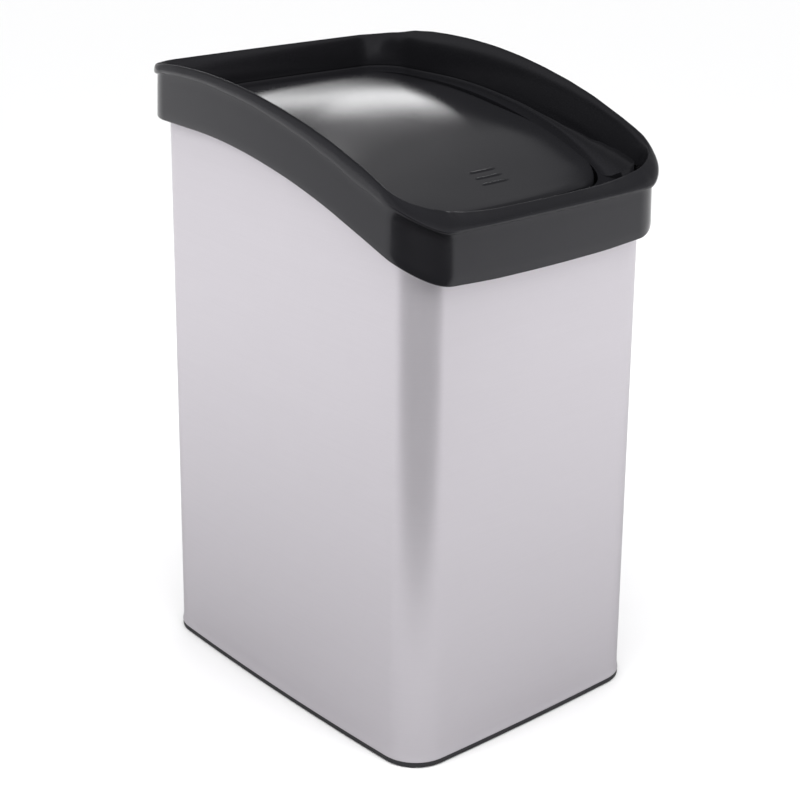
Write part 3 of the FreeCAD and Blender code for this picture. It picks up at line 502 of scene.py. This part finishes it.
# ------------------------------------------------------------------ other parts keep their exact shape
for n_, m_, b_ in (("top_edge_guard", M_SATIN, 0.3), ("base_pan", M_PAN, 0.4), ("base_ring", M_SATIN, 0.5), ("rubber_feet", M_RUBBER, 0.3),
                   ("seat_frame_screws", M_ZINC, 0.25), ("left_pivot_block", M_SATIN, 0.4), ("right_pivot_block", M_SATIN, 0.4),
                   ("left_pivot_bush", M_NYLON, 0.15), ("right_pivot_bush", M_NYLON, 0.15), ("pivot_block_screws", M_ZINC, 0.25),
                   ("lid_stop_pads", M_RUBBER, 0.4), ("rim_grip_pads", M_RUBBER, 0.5), ("lid_underside", M_SATIN, 0.4),
                   ("left_pivot_pin", M_ZINC, 0.25), ("right_pivot_pin", M_ZINC, 0.25), ("counterweight", M_ZINC, 0.4),
                   ("counterweight_screws", M_ZINC, 0.25), ("lid_screws", M_ZINC, 0.25), ("lid_seat_frame", M_RIM, 0.6)):
    paint(n_, m_, b_)

# ------------------------------------------------------------------ floor, light, camera
bpy.ops.mesh.primitive_plane_add(size=12.0, location=(0, 0, 0))
floor = bpy.context.active_object
floor.name = "floor"
fm = bpy.data.materials.new("floor_white")
fm.use_nodes = True
fm.node_tree.nodes["Principled BSDF"].inputs["Base Color"].default_value = (0.93, 0.93, 0.93, 1)
fm.node_tree.nodes["Principled BSDF"].inputs["Roughness"].default_value = 0.9
fm.node_tree.nodes["Principled BSDF"].inputs["Specular IOR Level"].default_value = 0.1
floor.data.materials.append(fm)

world = bpy.data.worlds.new("studio")
world.use_nodes = True
scene.world = world
wn, wl = world.node_tree.nodes, world.node_tree.links
w_co = wn.new("ShaderNodeTexCoord")
w_sep = wn.new("ShaderNodeSeparateXYZ")
wl.new(w_co.outputs["Generated"], w_sep.inputs["Vector"])
w_ramp = wn.new("ShaderNodeValToRGB")
w_ramp.color_ramp.elements[0].position, w_ramp.color_ramp.elements[0].color = 0.0, (0.48, 0.48, 0.49, 1)
w_ramp.color_ramp.elements[1].position, w_ramp.color_ramp.elements[1].color = 1.0, (0.22, 0.22, 0.23, 1)
for place, value in ((0.30, 0.38), (0.50, 0.22), (0.70, 0.16)):
    el = w_ramp.color_ramp.elements.new(place)
    el.color = (value, value, value * 1.01, 1)
wl.new(w_sep.outputs["Z"], w_ramp.inputs["Fac"])
wl.new(w_ramp.outputs["Color"], wn["Background"].inputs["Color"])
wn["Background"].inputs["Strength"].default_value = 1.0
scene.view_settings.view_transform = "Standard"
scene.view_settings.look = "None"

sun_data = bpy.data.lights.new("soft_top", "SUN")
sun_data.energy = 2.7
sun_data.angle = math.radians(70)
sun = bpy.data.objects.new("soft_top", sun_data)
scene.collection.objects.link(sun)
sun.rotation_euler = (math.radians(8), math.radians(-6), 0)
sun.visible_glossy = False



def softbox(name, place, target, size, watts, glossy):
    data = bpy.data.lights.new(name, "AREA")
    data.shape = "RECTANGLE"
    data.size, data.size_y = size
    data.energy = watts
    o = bpy.data.objects.new(name, data)
    scene.collection.objects.link(o)
    o.location = place
    o.rotation_euler = (Vector(target) - Vector(place)).to_track_quat("-Z", "Y").to_euler()
    o.visible_glossy = glossy
    o.visible_camera = False
    return o


softbox("left_box", (-0.95, 0.05, 0.95), (0.0, 0.0, 0.40), (0.7, 0.7), 4.0, False)
softbox("front_box", (0.10, -1.0, 0.95), (0.0, 0.0, 0.40), (0.7, 0.7), 4.0, False)
softbox("rear_box", (1.0, 1.07, 0.945), (0.03, 0.08, 0.44), (1.2, 0.13), 2.05, True)
softbox("rear_right_box", (1.01, 0.996, 1.045), (0.04, 0.04, 0.44), (0.32, 0.10), 0.42, True)
softbox("right_box", (1.06, 0.50, 1.42), (0.0, 0.0, 0.42), (0.5, 0.4), 0.13, True)

# Grey card round the foot, seen only by the can: painted shade, its grey growing darker towards the can in place of the
# floor's shade close to the foot, so that the floor there gives back less light.
card_mat = bpy.data.materials.new("painted_floor_shade_card")
card_mat.use_nodes = True
cn, cl = card_mat.node_tree.nodes, card_mat.node_tree.links
c_co = cn.new("ShaderNodeTexCoord")
c_len = cn.new("ShaderNodeVectorMath")
c_len.operation = "LENGTH"
cl.new(c_co.outputs["Object"], c_len.inputs[0])
# painted shade: the card's grey runs from 0.34 near the can to 0.93 at 1.25 m out
painted_shade_ramp = cn.new("ShaderNodeMapRange")
painted_shade_ramp.inputs["From Min"].default_value, painted_shade_ramp.inputs["From Max"].default_value = 0.15, 1.25
painted_shade_ramp.inputs["To Min"].default_value, painted_shade_ramp.inputs["To Max"].default_value = 0.34, 0.93
cl.new(c_len.outputs["Value"], painted_shade_ramp.inputs["Value"])
c_mix = cn.new("ShaderNodeCombineColor")
for c_in in ("Red", "Green", "Blue"):
    cl.new(painted_shade_ramp.outputs["Result"], c_mix.inputs[c_in])
cl.new(c_mix.outputs["Color"], cn["Principled BSDF"].inputs["Base Color"])
cn["Principled BSDF"].inputs["Roughness"].default_value = 0.9
cn["Principled BSDF"].inputs["Specular IOR Level"].default_value = 0.1
card_mesh = bpy.data.meshes.new("floor_card")
card_mesh.from_pydata([(1.25 * math.cos(math.pi * i / 32), 1.25 * math.sin(math.pi * i / 32), 0.0005) for i in range(64)], [], [tuple(range(64))])
card = bpy.data.objects.new("floor_card", card_mesh)
scene.collection.objects.link(card)
card.data.materials.append(card_mat)
card.visible_camera = card.visible_diffuse = card.visible_shadow = card.visible_transmission = False

# Black flag on the floor in front of the near corner: it only shows in reflections.
flag_mat = bpy.data.materials.new("flag_black")
flag_mat.use_nodes = True
flag_mat.node_tree.nodes["Principled BSDF"].inputs["Base Color"].default_value = (0.02, 0.02, 0.02, 1)
flag_mat.node_tree.nodes["Principled BSDF"].inputs["Roughness"].default_value = 1.0
fv = Vector((math.sin(math.radians(-41.0)), -math.cos(math.radians(-41.0)), 0.0))
fs = Vector((fv.y, -fv.x, 0.0))
flag_mesh = bpy.data.meshes.new("flag")
corner = Vector((-0.10, -0.14, 0.0))
flag_mesh.from_pydata([tuple(corner + fv * d + fs * w + Vector((0, 0, 0.004))) for d, w in ((0.30, -0.25), (0.30, 0.25), (0.55, 2.2), (3.0, 2.6), (3.0, -2.6), (0.55, -2.2))], [], [(0, 1, 2, 3, 4, 5)])
flag = bpy.data.objects.new("flag", flag_mesh)
scene.collection.objects.link(flag)
flag.data.materials.append(flag_mat)
flag.visible_camera = flag.visible_diffuse = flag.visible_shadow = flag.visible_transmission = False

cam_data = bpy.data.cameras.new("photo_camera")
cam_data.sensor_width = 36.0
cam_data.lens = 1726.6 / 800.0 * 36.0
cam = bpy.data.objects.new("photo_camera", cam_data)
scene.collection.objects.link(cam)
a, e, r = math.radians(-40.914), math.radians(21.27), math.radians(0.522)
back = Vector((math.sin(a) * math.cos(e), -math.cos(a) * math.cos(e), math.sin(e)))
right = Vector((math.cos(a), math.sin(a), 0.0))
up = back.cross(right)
right_, up_ = right * math.cos(r) + up * math.sin(r), up * math.cos(r) - right * math.sin(r)
pos = Vector((3.05, 0.0, 213.94)) * MM + back * 1.3393
cam.matrix_world = Matrix(((right_.x, up_.x, back.x, pos.x), (right_.y, up_.y, back.y, pos.y), (right_.z, up_.z, back.z, pos.z), (0, 0, 0, 1)))
scene.camera = cam
